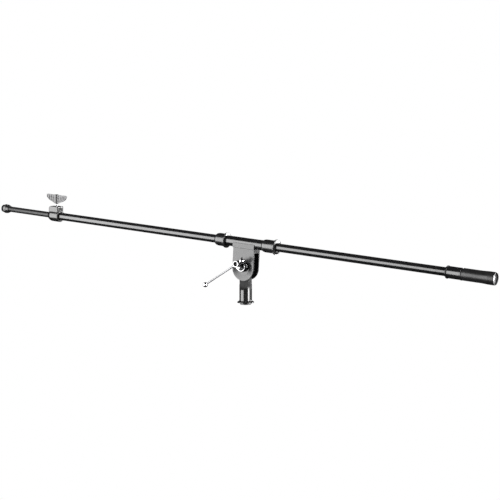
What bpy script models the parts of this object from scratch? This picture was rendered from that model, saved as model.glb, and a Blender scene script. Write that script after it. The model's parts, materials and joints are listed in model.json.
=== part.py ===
"""Telescopic microphone boom arm with its clamping swivel. Metres, +Z up.

The origin is the centre of the socket's bottom opening. The stand socket is fixed. Everything above it
hangs on the tilt pivot, whose axis runs along Y. In the tilted frame of the boom, +X points to the
counterweight and -X to the microphone end.
"""

from math import cos, pi, radians, sin

import bmesh
import bpy

MM = 0.001
GAP = 0.3 * MM  # clearance between pieces that touch or slide
ROUND = 32  # sides of a large round piece
MEDIUM = 24
SMALL = 16  # sides of a small round piece
ARC_STEPS = 5
CORNER_STEPS = 3
QUARTER_TURN = pi / 2

# Stand socket
SOCKET_R = 12.3 * MM
SOCKET_BASE_Z = 3.4 * MM
SOCKET_BORE_R = 9.8 * MM
SOCKET_BORE_TOP = 26.0 * MM
SKIRT_R = 16.5 * MM
SKIRT_HEIGHT = 3.0 * MM
SKIRT_EDGE = 1.1 * MM  # height of its upright edge
SKIRT_FILLET = 0.6 * MM
DRILL_POINT = 1.2 * MM
SHOULDER_Z = 39.5 * MM
SHOULDER_TOP_Z = 47.4 * MM
SHOULDER_TOP_R = 8.5 * MM
SHOULDER_CURVE = ((0.6 * MM, 3.2 * MM), (1.9 * MM, 6.0 * MM))  # (inset, rise) between column and top
THREAD_CORE_R = 7.45 * MM  # minor radius of a 5/8 inch stand thread
INSERT_LIP_R = 11.0 * MM
INSERT_TOP_Z = 24.0 * MM
INSERT_CHAMFER = 0.7 * MM

# Tilt pivot and tongue
PIVOT_Z = 75.4 * MM
BOOM_TILT = radians(3.6)
TONGUE_HALF_WIDTH = 10.5 * MM
TONGUE_EYE_R = 12.5 * MM
TONGUE_HALF_THICK = 5.8 * MM
RAMP_LOW_Z = 28.5 * MM
RAMP_HIGH_Z = 37.5 * MM
DISC_THICK = 0.8 * MM
DISC_R = 12.0 * MM
PIVOT_HOLE_R = 4.3 * MM

# Clamp bracket, in the tilted frame with its origin on the pivot
BOOM_HEIGHT = 44.6 * MM
CHEEK_IN = 7.2 * MM
CHEEK_OUT = 10.3 * MM
CHEEK_HALF_WIDTH = 24.3 * MM
CHEEK_TOP = 35.0 * MM
CHEEK_CORNER_R = 3.0 * MM
ROUND_END_Z = -4.0 * MM
SADDLE_BOTTOM = 27.5 * MM
CRADLE_HALF = 11.3 * MM
CRADLE_BOTTOM = 34.6 * MM
CRADLE_EDGE = 0.8 * MM
CRADLE_OVERHANG = 1.2 * MM  # past the cheeks, on the microphone side
RECESS_R = 20.6 * MM
RECESS_TOP = 8.8 * MM
RECESS_DEPTH = 1.8 * MM
RECESS_CORNER_R = 4.0 * MM
RECESS_CORNER_DEG = 35  # where the top edge would meet the round
RIVET_X = -2.2 * MM
RIVET_Z = 15.5 * MM
RIVET_R = 1.9 * MM
RIVET_SET_BACK = 2.2 * MM  # below the cheek's outer face

# Sleeve and bushings
SLEEVE_R = 10.0 * MM
SLEEVE_BORE_R = 8.9 * MM
SLEEVE_LEFT = -57.0 * MM
SLEEVE_RIGHT = 56.0 * MM
LEFT_BUSHING = (-70.4 * MM, -45.5 * MM)
RIGHT_BUSHING = (39.9 * MM, 70.7 * MM)
BUSHING_R = 12.5 * MM
BUSHING_FLANGE_R = 14.9 * MM
LEFT_FLANGE_THICK = 3.2 * MM
RIGHT_FLANGE_THICK = 3.4 * MM
BUSHING_NOSE = 4.5 * MM  # length of the rounded left end
BUSHING_EDGE = 0.8 * MM
LINER_LENGTH = 9.0 * MM

# Boom tubes
OUTER_R = 8.0 * MM
OUTER_BORE_R = 6.9 * MM
OUTER_LEFT = -506.0 * MM
OUTER_RIGHT = 450.0 * MM
INNER_R = 6.0 * MM
INNER_BORE_R = 5.0 * MM
INNER_LEFT = -641.0 * MM
INNER_RIGHT = -26.0 * MM
GUIDE_R = 6.55 * MM
GUIDE_LENGTH = 18.0 * MM
SPIGOT_LENGTH = 12.0 * MM
PLUG_EDGE = 0.8 * MM

# Clamp collar and wing screw
COLLAR_LEFT = -515.0 * MM
COLLAR_RIGHT = -485.5 * MM
COLLAR_R = 12.2 * MM
COLLAR_NOSE_R = 8.4 * MM
COLLAR_NOSE_LENGTH = 7.5 * MM
COLLAR_NOSE_INSET = 1.6 * MM  # halfway along the nose
COLLAR_EDGE = 0.8 * MM
BOSS_LEFT = -512.5 * MM
BOSS_RIGHT = -486.5 * MM
BOSS_HALF_DEPTH = 9.4 * MM
BOSS_TOP = 21.0 * MM
BOSS_LEFT_R = 8.0 * MM
BOSS_RIGHT_R = 2.0 * MM
SLOT_WIDTH = 2.2 * MM
SLOT_DEPTH = 3.6 * MM
BUSH_LENGTH = 7.4 * MM
BUSH_SET_BACK = 1.2 * MM
BUSH_OUT_R = 7.7 * MM
WING_X = -498.5 * MM
SCREW_BORE_R = 3.1 * MM
SCREW_R = 2.7 * MM
PAD_R = 2.7 * MM
PAD_BOTTOM = 6.3 * MM
PAD_TOP = 11.0 * MM
HUB_BOTTOM = 24.6 * MM
HUB_TOP = 44.4 * MM
HUB_R = 3.6 * MM
HUB_EDGE = 0.8 * MM
SHAFT_TOP = 42.4 * MM
WING_SPAN = 55.6 * MM
WING_TIP = ((1.0, 0.6 * MM), (1.01, -1.2 * MM))  # (part of the half span, height over the hub's top)
WING_EDGE = ((0.95, 0.33), (0.75, 0.56), (0.28, 0.8), (0.06, 0.93))  # (part of the half span, of the hub)
WING_THICK = 3.4 * MM

# Microphone end
STUD_TIP = -657.0 * MM
STUD_R = 7.95 * MM
STUD_TIP_R = 5.2 * MM
STUD_BASE_LEFT = -641.6 * MM
STUD_BASE_RIGHT = -635.4 * MM
STUD_BASE_R = 9.0 * MM
STUD_BASE_TAPER = (2.6 * MM, 0.8 * MM)  # (along, inwards)
STUD_LIP = 0.7 * MM
STUD_NOSE = ((1.0 * MM, 1.6 * MM), (3.2 * MM, 2.75 * MM))  # (from the tip, over its radius)
LOCK_RING = (-648.6 * MM, -642.0 * MM)
LOCK_RING_R = 9.7 * MM
LOCK_RING_EDGE = 0.9 * MM

# Counterweight
WEIGHT_LEFT = 427.0 * MM
WEIGHT_STEP = 458.0 * MM
WEIGHT_RIGHT = 520.0 * MM
WEIGHT_R = 10.9 * MM
WEIGHT_RIM_R = 11.9 * MM
WEIGHT_RIM_LENGTH = 3.4 * MM
WEIGHT_LIP = 0.5 * MM  # height of the collar's raised end
WEIGHT_LIP_LENGTH = 2.0 * MM
GRIP_R = 11.1 * MM
GRIP_END_R = 11.7 * MM
GRIP_EDGE = 0.5 * MM
GRIP_TAPER = (24.0 * MM, 10.0 * MM)  # where its swell starts and ends, from the outer end
CORE_R = 9.9 * MM
CORE_SET_BACK = 1.2 * MM  # from the step
CORE_CLEARANCE = 2.0 * MM  # beyond the stud's end
END_RECESS = 3.5 * MM
WEIGHT_STUD_R = 4.0 * MM
WEIGHT_STUD_EDGE = 0.6 * MM
WEIGHT_STUD_RIGHT = 482.0 * MM

# Clamp screw and T-bar, in the tilted frame with its origin on the pivot
SCREW_SHANK_R = 4.0 * MM
WASHER_R = 11.0 * MM
WASHER_THICK = 2.6 * MM
WASHER_EDGE = 0.6 * MM
SCREW_FLANGE_R = 9.9 * MM
SCREW_FLANGE_OUT = 17.6 * MM
SCREW_FLANGE_LIP = 2.0 * MM
SCREW_DISH_BOTTOM = 14.2 * MM
SCREW_NECK_R = 4.2 * MM
SCREW_CHAMFER = 0.8 * MM
NUT_R = 7.5 * MM
NUT_THICK = 6.0 * MM
SCREW_END = 3.0 * MM
REAR_WASHER_R = 9.5 * MM
REAR_WASHER_THICK = 1.6 * MM
EYE_X = -2.3 * MM
EYE_Z = 6.0 * MM
EYE_Y = -27.0 * MM
EYE_R = 6.7 * MM
HEAD_SLOT_R = 1.6 * MM
HEAD_SLOT_RISE = 1.7 * MM
EYE_HALF_DEPTH = 5.6 * MM
ROD_R = 1.6 * MM
ROD_ANGLE = radians(34.9)
ROD_LOW = -88.6 * MM
ROD_HIGH = 12.6 * MM
KNOB_R = 4.9 * MM
KNOB_HOLE_DEPTH = 2.6 * MM  # past the ball's centre
KNOB_FLAT_DEG = 18
KNOB_MOUTH_DEG = 150
KNOB_STEP_DEG = 12
ROD_IN_KNOB = 2.2 * MM


def clear_scene():
    for obj in list(bpy.data.objects):
        bpy.data.objects.remove(obj, do_unlink=True)


def material(name, color, roughness, metallic):
    made = bpy.data.materials.new(name)
    made.use_nodes = True
    shader = made.node_tree.nodes["Principled BSDF"]
    shader.inputs["Base Color"].default_value = (*color, 1.0)
    shader.inputs["Roughness"].default_value = roughness
    shader.inputs["Metallic"].default_value = metallic
    return made


def empty(name, parent=None, location=(0, 0, 0), rotation=(0, 0, 0)):
    made = bpy.data.objects.new(name, None)
    bpy.context.collection.objects.link(made)
    made.parent = parent
    made.location = location
    made.rotation_euler = rotation
    return made


def add_object(name, mesh_data, parent, location=(0, 0, 0), rotation=(0, 0, 0)):
    bmesh.ops.recalc_face_normals(mesh_data, faces=mesh_data.faces)
    mesh = bpy.data.meshes.new(name)
    mesh_data.to_mesh(mesh)
    mesh_data.free()
    mesh.shade_smooth()
    mesh.set_sharp_from_angle(angle=radians(35))
    made = bpy.data.objects.new(name, mesh)
    bpy.context.collection.objects.link(made)
    made.parent = parent
    made.location = location
    made.rotation_euler = rotation
    return made


def arc(centre_a, centre_b, radius, start_deg, end_deg, steps=ARC_STEPS):
    """Points of a circular arc, both ends included."""
    turn = (end_deg - start_deg) / steps
    angles = [radians(start_deg + turn * i) for i in range(steps + 1)]
    return [(centre_a + radius * cos(t), centre_b + radius * sin(t)) for t in angles]


def turned_mesh(profile, segments):
    """A profile of (radius, height) points turned about Z. It is a ring unless it ends on the axis."""
    data = bmesh.new()
    rows = []
    for radius, height in profile:
        if radius == 0:
            rows.append([data.verts.new((0, 0, height))])
            continue
        angles = [2 * pi * i / segments for i in range(segments)]
        rows.append([data.verts.new((radius * cos(t), radius * sin(t), height)) for t in angles])
    pairs = list(zip(rows, rows[1:]))
    if profile[0][0] != 0:
        pairs.append((rows[-1], rows[0]))
    for low, high in pairs:
        for i in range(segments):
            j = (i + 1) % segments
            corners = [low[i % len(low)], low[j % len(low)], high[j % len(high)], high[i % len(high)]]
            data.faces.new(list(dict.fromkeys(corners)))
    return data


def turned_z(name, profile, parent, location=(0, 0, 0), segments=ROUND):
    return add_object(name, turned_mesh(profile, segments), parent, location)


def turned_x(name, profile, parent, location=(0, 0, 0), segments=ROUND):
    """A turned piece along X: each profile point is (radius, x)."""
    return add_object(name, turned_mesh(profile, segments), parent, location, (0, QUARTER_TURN, 0))


def turned_y(name, profile, parent, location=(0, 0, 0), segments=MEDIUM):
    """A turned piece along Y: each profile point is (radius, y)."""
    return add_object(name, turned_mesh(profile, segments), parent, location, (-QUARTER_TURN, 0, 0))


def plate(name, outline, low, high, parent, location=(0, 0, 0)):
    """An outline of (x, z) points, extruded along Y from low to high."""
    data = bmesh.new()
    front = [data.verts.new((x, low, z)) for x, z in outline]
    back = [data.verts.new((x, high, z)) for x, z in outline]
    data.faces.new(front)
    data.faces.new(list(reversed(back)))
    for i in range(len(outline)):
        j = (i + 1) % len(outline)
        data.faces.new([front[j], front[i], back[i], back[j]])
    return add_object(name, data, parent, location)


def boolean(target, tool, operation):
    """The tool is a guide: it shapes the target, and is not a piece of its own."""
    tool.hide_render = True
    tool.display_type = "WIRE"
    step = target.modifiers.new(operation.lower(), "BOOLEAN")
    step.operation = operation
    step.solver = "EXACT"
    step.object = tool


def cut(target, tool):
    boolean(target, tool, "DIFFERENCE")


def unite(target, tool):
    boolean(target, tool, "UNION")


def ring_profile(inner, outer, low, high):
    return [(inner, low), (outer, low), (outer, high), (inner, high)]


def rod_profile(radius, low, high, chamfer):
    return [
        (0, low),
        (radius - chamfer, low),
        (radius, low + chamfer),
        (radius, high - chamfer),
        (radius - chamfer, high),
        (0, high),
    ]


def box_outline(left, right, bottom, top):
    return [(left, bottom), (right, bottom), (right, top), (left, top)]


def paint(pieces, finish):
    for piece in pieces:
        piece.data.materials.append(finish)


def stand_socket():
    """Die-cast body: flared foot, round column, and the tongue that the cheeks clamp."""
    foot_top = SOCKET_BASE_Z + SKIRT_HEIGHT
    shoulder = [(SOCKET_R - inset, SHOULDER_Z + rise) for inset, rise in SHOULDER_CURVE]
    profile = [
        (0, SOCKET_BORE_TOP),
        (SOCKET_BORE_R, SOCKET_BORE_TOP - DRILL_POINT),
        (SOCKET_BORE_R, SOCKET_BASE_Z),
        (SKIRT_R - GAP, SOCKET_BASE_Z),
        (SKIRT_R, SOCKET_BASE_Z + GAP),
        (SKIRT_R, SOCKET_BASE_Z + SKIRT_EDGE),
        (SOCKET_R + 1.5 * SKIRT_FILLET, foot_top - SKIRT_FILLET),
        (SOCKET_R, foot_top + SKIRT_FILLET),
        (SOCKET_R, SHOULDER_Z),
        *shoulder,
        (SHOULDER_TOP_R, SHOULDER_TOP_Z),
        (0, SHOULDER_TOP_Z),
    ]
    body = turned_z("stand_socket", profile, None)
    eye = arc(0, PIVOT_Z, TONGUE_EYE_R, 0, 180, 4 * ARC_STEPS)
    foot = [
        (-TONGUE_HALF_WIDTH, PIVOT_Z - TONGUE_EYE_R),
        (-TONGUE_HALF_WIDTH, SHOULDER_Z),
        (TONGUE_HALF_WIDTH, SHOULDER_Z),
        (TONGUE_HALF_WIDTH, PIVOT_Z - TONGUE_EYE_R),
    ]
    thick = TONGUE_HALF_THICK
    unite(body, plate("tongue_form", eye + foot, -thick, thick, None))
    reach = 2 * SOCKET_R
    for side in (-1, 1):
        ramp = [
            (SOCKET_R + GAP, RAMP_LOW_Z),
            (TONGUE_HALF_THICK, RAMP_HIGH_Z),
            (TONGUE_HALF_THICK, PIVOT_Z),
            (reach, PIVOT_Z),
            (reach, RAMP_LOW_Z),
        ]
        data = bmesh.new()
        near = [data.verts.new((-reach, side * y, z)) for y, z in ramp]
        far = [data.verts.new((reach, side * y, z)) for y, z in ramp]
        data.faces.new(near)
        data.faces.new(list(reversed(far)))
        for i in range(len(ramp)):
            j = (i + 1) % len(ramp)
            data.faces.new([near[j], near[i], far[i], far[j]])
        cut(body, add_object(f"ramp_cutter_{side}", data, None))
    hole = rod_profile(PIVOT_HOLE_R, -reach, reach, GAP)
    cut(body, turned_y("tongue_hole_cutter", hole, None, (0, 0, PIVOT_Z)))
    return body


def thread_insert():
    """Flanged steel bushing with the stand thread, drawn at its core radius."""
    chamfer = INSERT_CHAMFER
    profile = [
        (THREAD_CORE_R + chamfer, 0),
        (INSERT_LIP_R - chamfer, 0),
        (INSERT_LIP_R, chamfer),
        (INSERT_LIP_R, SOCKET_BASE_Z - GAP),
        (SOCKET_BORE_R - GAP, SOCKET_BASE_Z - GAP),
        (SOCKET_BORE_R - GAP, INSERT_TOP_Z),
        (THREAD_CORE_R, INSERT_TOP_Z),
        (THREAD_CORE_R, chamfer),
    ]
    return turned_z("thread_insert", profile, None)


def friction_disc(side, name):
    near = TONGUE_HALF_THICK + GAP
    profile = ring_profile(PIVOT_HOLE_R + GAP, DISC_R, side * near, side * (near + DISC_THICK))
    return turned_y(name, profile, None, (0, 0, PIVOT_Z))


def cheek_outline():
    corner = CHEEK_HALF_WIDTH - CHEEK_CORNER_R
    height = CHEEK_TOP - CHEEK_CORNER_R
    top_left = arc(-corner, height, CHEEK_CORNER_R, 90, 180, CORNER_STEPS)
    top_right = arc(corner, height, CHEEK_CORNER_R, 0, 90, CORNER_STEPS)
    round_end = arc(0, ROUND_END_Z, CHEEK_HALF_WIDTH, 180, 360, 4 * ARC_STEPS)
    return top_left + round_end + top_right


def recess_outline():
    """The round dish about the pivot, with a straight top edge and rounded upper corners."""
    rise = RECESS_TOP - ROUND_END_Z
    half = RECESS_R * cos(radians(RECESS_CORNER_DEG))
    top = [
        (half - RECESS_CORNER_R / 2, RECESS_TOP),
        (-half + RECESS_CORNER_R / 2, RECESS_TOP),
    ]
    side = rise - RECESS_CORNER_R / 2
    start = 180 - 180 / pi * side / RECESS_R
    return top + arc(0, ROUND_END_Z, RECESS_R, start, 540 - start, 4 * ARC_STEPS)


def cradle(pivot):
    """The bracket's upper part, which holds the sleeve up to its middle."""
    half, low, edge = CRADLE_HALF, CRADLE_BOTTOM, CRADLE_EDGE
    section = [
        (-half, BOOM_HEIGHT),
        (-half, low + edge),
        (edge - half, low),
        (half - edge, low),
        (half, low + edge),
        (half, BOOM_HEIGHT),
    ]
    left = -CHEEK_HALF_WIDTH - CRADLE_OVERHANG
    form = plate("cradle_form", section, -CHEEK_HALF_WIDTH, -left, pivot)
    form.rotation_euler = (0, 0, QUARTER_TURN)
    return form


def clamp_bracket(pivot):
    """Two cheeks joined by a saddle under the sleeve, with a dished face round the pivot on each cheek."""
    outline = cheek_outline()
    body = plate("clamp_bracket", outline, -CHEEK_OUT, CHEEK_OUT, pivot)
    reach = 2 * CHEEK_HALF_WIDTH
    opening = box_outline(-reach, reach, -reach, SADDLE_BOTTOM)
    cut(body, plate("bracket_gap_cutter", opening, -CHEEK_IN, CHEEK_IN, pivot))
    unite(body, cradle(pivot))
    seat = rod_profile(SLEEVE_R + GAP, -reach, reach, GAP)
    cut(body, turned_x("bracket_seat_cutter", seat, pivot, (0, 0, BOOM_HEIGHT)))
    dish = recess_outline()
    floor = CHEEK_OUT - RECESS_DEPTH
    cut(body, plate("front_dish_cutter", dish, -2 * CHEEK_OUT, -floor, pivot))
    cut(body, plate("rear_dish_cutter", dish, floor, 2 * CHEEK_OUT, pivot))
    hole = rod_profile(PIVOT_HOLE_R, -reach, reach, GAP)
    cut(body, turned_y("bracket_hole_cutter", hole, pivot))
    rivet_hole = rod_profile(RIVET_R + GAP, -reach, reach, GAP)
    cut(body, turned_y("rivet_hole_cutter", rivet_hole, pivot, (RIVET_X, 0, RIVET_Z), SMALL))
    return body


def cheek_rivet(pivot):
    end = CHEEK_OUT - RIVET_SET_BACK
    profile = rod_profile(RIVET_R, -end, end, GAP)
    return turned_y("cheek_rivet", profile, pivot, (RIVET_X, 0, RIVET_Z), SMALL)


def sleeve_tube(pivot):
    profile = ring_profile(SLEEVE_BORE_R, SLEEVE_R, SLEEVE_LEFT, SLEEVE_RIGHT)
    return turned_x("sleeve_tube", profile, pivot, (0, 0, BOOM_HEIGHT))


def bushing(name, span, flange, covered, pivot):
    """A shaped ring over the sleeve's end. covered is the stretch of x where it lies over the sleeve."""
    left, right = span
    mouth = OUTER_R + 2 * GAP
    bore = OUTER_R + GAP
    seat = SLEEVE_R + GAP
    edge = BUSHING_EDGE
    outer = [
        (seat + GAP, left),
        (BUSHING_R - GAP, left + BUSHING_NOSE / 2),
        (BUSHING_R, left + BUSHING_NOSE),
        (BUSHING_R, right - flange - edge),
        (BUSHING_FLANGE_R, right - flange),
        (BUSHING_FLANGE_R, right - edge),
    ]
    start, end = covered
    if start > left:
        inner = [(seat, right), (seat, start), (bore, start), (bore, left + edge), (mouth, left)]
    else:
        inner = [(mouth, right), (bore, right - edge), (bore, end), (seat, end), (seat, left)]
    return turned_x(name, outer + inner, pivot, (0, 0, BOOM_HEIGHT))


def bushings(pivot):
    left_covered = (SLEEVE_LEFT - GAP, LEFT_BUSHING[1])
    right_covered = (RIGHT_BUSHING[0], SLEEVE_RIGHT + GAP)
    return [
        bushing("left_bushing", LEFT_BUSHING, LEFT_FLANGE_THICK, left_covered, pivot),
        bushing("right_bushing", RIGHT_BUSHING, RIGHT_FLANGE_THICK, right_covered, pivot),
    ]


def liners(pivot):
    """Plastic glides inside the sleeve's two ends."""
    inner = OUTER_R + GAP
    outer = SLEEVE_BORE_R - GAP / 2
    left = (SLEEVE_LEFT + GAP, SLEEVE_LEFT + GAP + LINER_LENGTH)
    right = (SLEEVE_RIGHT - GAP - LINER_LENGTH, SLEEVE_RIGHT - GAP)
    where = (0, 0, BOOM_HEIGHT)
    return [
        turned_x("left_liner", ring_profile(inner, outer, *left), pivot, where, MEDIUM),
        turned_x("right_liner", ring_profile(inner, outer, *right), pivot, where, MEDIUM),
    ]


def rear_clamp(pivot):
    """Washer and hexagon nut on the rear cheek."""
    hole = SCREW_SHANK_R + GAP
    seat = CHEEK_OUT + GAP
    washer_end = seat + REAR_WASHER_THICK
    washer = turned_y("rear_washer", ring_profile(hole, REAR_WASHER_R, seat, washer_end), pivot)
    nut_start = washer_end + GAP
    nut = turned_y(
        "rear_nut",
        ring_profile(hole, NUT_R, nut_start, nut_start + NUT_THICK),
        pivot,
        segments=MEDIUM,
    )
    hexagon = [(NUT_R * cos(radians(60 * i)), NUT_R * sin(radians(60 * i))) for i in range(6)]
    form = plate("nut_form", hexagon, 0, nut_start + 2 * NUT_THICK, pivot)
    boolean(nut, form, "INTERSECT")
    return washer, nut


def front_washer(pivot):
    seat = -(CHEEK_OUT + GAP)
    edge = WASHER_EDGE
    profile = [
        (SCREW_SHANK_R + GAP, seat),
        (WASHER_R, seat),
        (WASHER_R, seat - WASHER_THICK + edge),
        (WASHER_R - edge, seat - WASHER_THICK),
        (SCREW_SHANK_R + GAP, seat - WASHER_THICK),
    ]
    return turned_y("front_washer", profile, pivot)


def clamp_screw(axle):
    """Shank, dished flange and the offset eye that carries the T-bar."""
    flange_in = -(CHEEK_OUT + 2 * GAP + WASHER_THICK)
    tip = CHEEK_OUT + REAR_WASHER_THICK + NUT_THICK + SCREW_END
    chamfer = SCREW_CHAMFER
    outer = -SCREW_FLANGE_OUT
    profile = [
        (0, tip),
        (SCREW_SHANK_R - chamfer, tip),
        (SCREW_SHANK_R, tip - chamfer),
        (SCREW_SHANK_R, flange_in),
        (SCREW_FLANGE_R, flange_in),
        (SCREW_FLANGE_R, outer + chamfer),
        (SCREW_FLANGE_R - chamfer, outer),
        (SCREW_FLANGE_R - SCREW_FLANGE_LIP, outer),
        (SCREW_NECK_R, -SCREW_DISH_BOTTOM),
        (SCREW_NECK_R, EYE_Y),
        (0, EYE_Y),
    ]
    body = turned_y("clamp_screw", profile, axle)
    depth = EYE_HALF_DEPTH
    head = [(0, -depth), (EYE_R - chamfer, -depth), (EYE_R, chamfer - depth), (EYE_R, depth), (0, depth)]
    unite(body, turned_y("head_form", head, axle, (EYE_X, EYE_Y, EYE_Z)))
    top, bottom = EYE_Z + HEAD_SLOT_RISE, EYE_Z - HEAD_SLOT_RISE
    slot = arc(EYE_X, top, HEAD_SLOT_R, 0, 180) + arc(EYE_X, bottom, HEAD_SLOT_R, 180, 360)
    cut(body, plate("head_slot_cutter", slot, EYE_Y - 2 * depth, EYE_Y + depth / 2, axle))
    reach = 4 * EYE_R
    hole = turned_x("eye_hole_cutter", rod_profile(ROD_R + GAP, -reach, reach, GAP), axle, segments=SMALL)
    hole.location = (EYE_X, EYE_Y, EYE_Z)
    hole.rotation_euler = (0, QUARTER_TURN - ROD_ANGLE, 0)
    cut(body, hole)
    return body


def t_bar(slider):
    """Rod with a knob on each end. The slider's X axis runs along the rod, towards its upper end."""
    profile = rod_profile(ROD_R, ROD_LOW - ROD_IN_KNOB, ROD_HIGH + ROD_IN_KNOB, GAP)
    rod = turned_x("t_bar_rod", profile, slider, segments=SMALL)
    knobs = [
        t_bar_knob("t_bar_knob_lower", ROD_LOW, 1, slider),
        t_bar_knob("t_bar_knob_upper", ROD_HIGH, -1, slider),
    ]
    return [rod, *knobs]


def t_bar_knob(name, centre, inward, slider):
    """A ball with a blind hole that takes the rod's end."""
    depth = KNOB_HOLE_DEPTH
    hole = ROD_R + GAP / 2
    mouth = -KNOB_R * cos(radians(KNOB_MOUTH_DEG))
    angles = [radians(t) for t in range(KNOB_FLAT_DEG, KNOB_MOUTH_DEG, KNOB_STEP_DEG)]
    ball = [(KNOB_R * sin(t), -inward * KNOB_R * cos(t)) for t in angles]
    flat = inward * KNOB_R * cos(radians(KNOB_FLAT_DEG))
    profile = [(0, -flat), *ball, (hole, inward * mouth), (hole, -inward * depth), (0, -inward * depth)]
    return turned_x(name, [(r, centre + x) for r, x in profile], slider, segments=MEDIUM)


def outer_tube(boom):
    tube = turned_x("outer_tube", ring_profile(OUTER_BORE_R, OUTER_R, OUTER_LEFT, OUTER_RIGHT), boom)
    hole = rod_profile(SCREW_BORE_R, 0, 2 * OUTER_R, GAP)
    cut(tube, turned_z("tube_hole_cutter", hole, boom, (WING_X, 0, 0), SMALL))
    return tube


def clamp_collar(boom):
    """Ring on the outer tube's end with the raised block that holds the wing screw."""
    bore = OUTER_R + GAP
    edge = COLLAR_EDGE
    profile = [
        (COLLAR_NOSE_R, COLLAR_LEFT),
        (COLLAR_R - COLLAR_NOSE_INSET, COLLAR_LEFT + COLLAR_NOSE_LENGTH / 2),
        (COLLAR_R, COLLAR_LEFT + COLLAR_NOSE_LENGTH),
        (COLLAR_R, COLLAR_RIGHT - edge),
        (COLLAR_R - edge, COLLAR_RIGHT),
        (bore, COLLAR_RIGHT),
        (bore, COLLAR_LEFT + edge),
        (bore - edge / 4, COLLAR_LEFT),
    ]
    body = turned_x("clamp_collar", profile, boom)
    top = BOSS_TOP
    block = (
        [(BOSS_LEFT, OUTER_R), (BOSS_RIGHT, OUTER_R)]
        + arc(BOSS_RIGHT - BOSS_RIGHT_R, top - BOSS_RIGHT_R, BOSS_RIGHT_R, 0, 90, CORNER_STEPS)
        + arc(BOSS_LEFT + BOSS_LEFT_R, top - BOSS_LEFT_R, BOSS_LEFT_R, 90, 180)
    )
    unite(body, plate("boss_form", block, -BOSS_HALF_DEPTH, BOSS_HALF_DEPTH, boom))
    bore_tool = rod_profile(bore, COLLAR_LEFT + edge, COLLAR_RIGHT + edge, GAP)
    cut(body, turned_x("collar_bore_cutter", bore_tool, boom))
    screw_hole = rod_profile(SCREW_BORE_R, 0, 2 * top, GAP)
    cut(body, turned_z("collar_screw_cutter", screw_hole, boom, (WING_X, 0, 0), SMALL))
    slot = box_outline(WING_X, BOSS_RIGHT + edge, top - SLOT_DEPTH, top + SLOT_DEPTH)
    cut(body, plate("collar_slot_cutter", slot, -SLOT_WIDTH / 2, SLOT_WIDTH / 2, boom))
    return body


def collar_bush(boom):
    """Plastic guide ring between the collar's nose and the inner tube."""
    left = COLLAR_LEFT + BUSH_SET_BACK
    profile = ring_profile(INNER_R + GAP, BUSH_OUT_R, left, left + BUSH_LENGTH)
    return turned_x("collar_bush", profile, boom, segments=MEDIUM)


def brake_pad(boom):
    return turned_z("brake_pad", rod_profile(PAD_R, PAD_BOTTOM, PAD_TOP, GAP), boom, (WING_X, 0, 0), SMALL)


def wing_shaft(axle):
    profile = rod_profile(SCREW_R, PAD_TOP + GAP, SHAFT_TOP, GAP)
    return turned_z("wing_shaft", profile, axle, segments=SMALL)


def wing_head(axle):
    """Moulded head: a slim hub with a flat wing on each side."""
    half = WING_SPAN / 2
    drop = HUB_TOP - HUB_BOTTOM
    tip = [(x * half, HUB_TOP + rise) for x, rise in WING_TIP]
    side = tip + [(x * half, HUB_TOP - fall * drop) for x, fall in WING_EDGE]
    outline = side + [(-x, z) for x, z in reversed(side)]
    profile = [
        (0, HUB_BOTTOM),
        (HUB_R - 2 * HUB_EDGE, HUB_BOTTOM),
        (HUB_R, HUB_BOTTOM + 2 * HUB_EDGE),
        (HUB_R, HUB_TOP + HUB_EDGE),
        (HUB_R - HUB_EDGE, HUB_TOP + 2 * HUB_EDGE),
        (0, HUB_TOP + 2 * HUB_EDGE),
    ]
    hub = turned_z("wing_head", profile, axle, segments=MEDIUM)
    unite(hub, plate("wing_form", outline, -WING_THICK / 2, WING_THICK / 2, axle))
    bore = rod_profile(SCREW_R + GAP, 0, SHAFT_TOP + GAP, GAP)
    cut(hub, turned_z("wing_bore_cutter", bore, axle, segments=SMALL))
    return hub


def inner_tube(slider):
    profile = ring_profile(INNER_BORE_R, INNER_R, INNER_LEFT, INNER_RIGHT)
    return turned_x("inner_tube", profile, slider)


def guide_plug(slider):
    """Plastic plug that centres the inner tube's hidden end in the outer tube."""
    start = INNER_RIGHT + GAP
    edge = PLUG_EDGE
    spigot = INNER_BORE_R - GAP
    profile = [
        (0, INNER_RIGHT - SPIGOT_LENGTH),
        (spigot, INNER_RIGHT - SPIGOT_LENGTH),
        (spigot, start),
        (GUIDE_R, start),
        (GUIDE_R, start + GUIDE_LENGTH - edge),
        (GUIDE_R - edge, start + GUIDE_LENGTH),
        (0, start + GUIDE_LENGTH),
    ]
    return turned_x("guide_plug", profile, slider, segments=MEDIUM)


def mic_stud(slider):
    """Threaded stud for a microphone clip, with a tapered base over the inner tube's end."""
    socket = INNER_R + GAP
    socket_floor = INNER_LEFT - GAP
    taper, inset = STUD_BASE_TAPER
    profile = [
        (0, STUD_TIP),
        (STUD_TIP_R, STUD_TIP),
        *[(STUD_TIP_R + over, STUD_TIP + along) for along, over in STUD_NOSE],
        (STUD_R, STUD_BASE_LEFT),
        (STUD_BASE_R, STUD_BASE_LEFT),
        (STUD_BASE_R - inset, STUD_BASE_LEFT + taper),
        (socket + STUD_LIP, STUD_BASE_RIGHT),
        (socket, STUD_BASE_RIGHT),
        (socket, socket_floor),
        (0, socket_floor),
    ]
    return turned_x("mic_stud", profile, slider)


def lock_ring(slider):
    left, right = LOCK_RING
    edge = LOCK_RING_EDGE
    bore = STUD_R + GAP
    profile = [
        (bore, left),
        (LOCK_RING_R - edge, left),
        (LOCK_RING_R, left + edge),
        (LOCK_RING_R, right - edge),
        (LOCK_RING_R - edge, right),
        (bore, right),
    ]
    return turned_x("mic_lock_ring", profile, slider)


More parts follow.
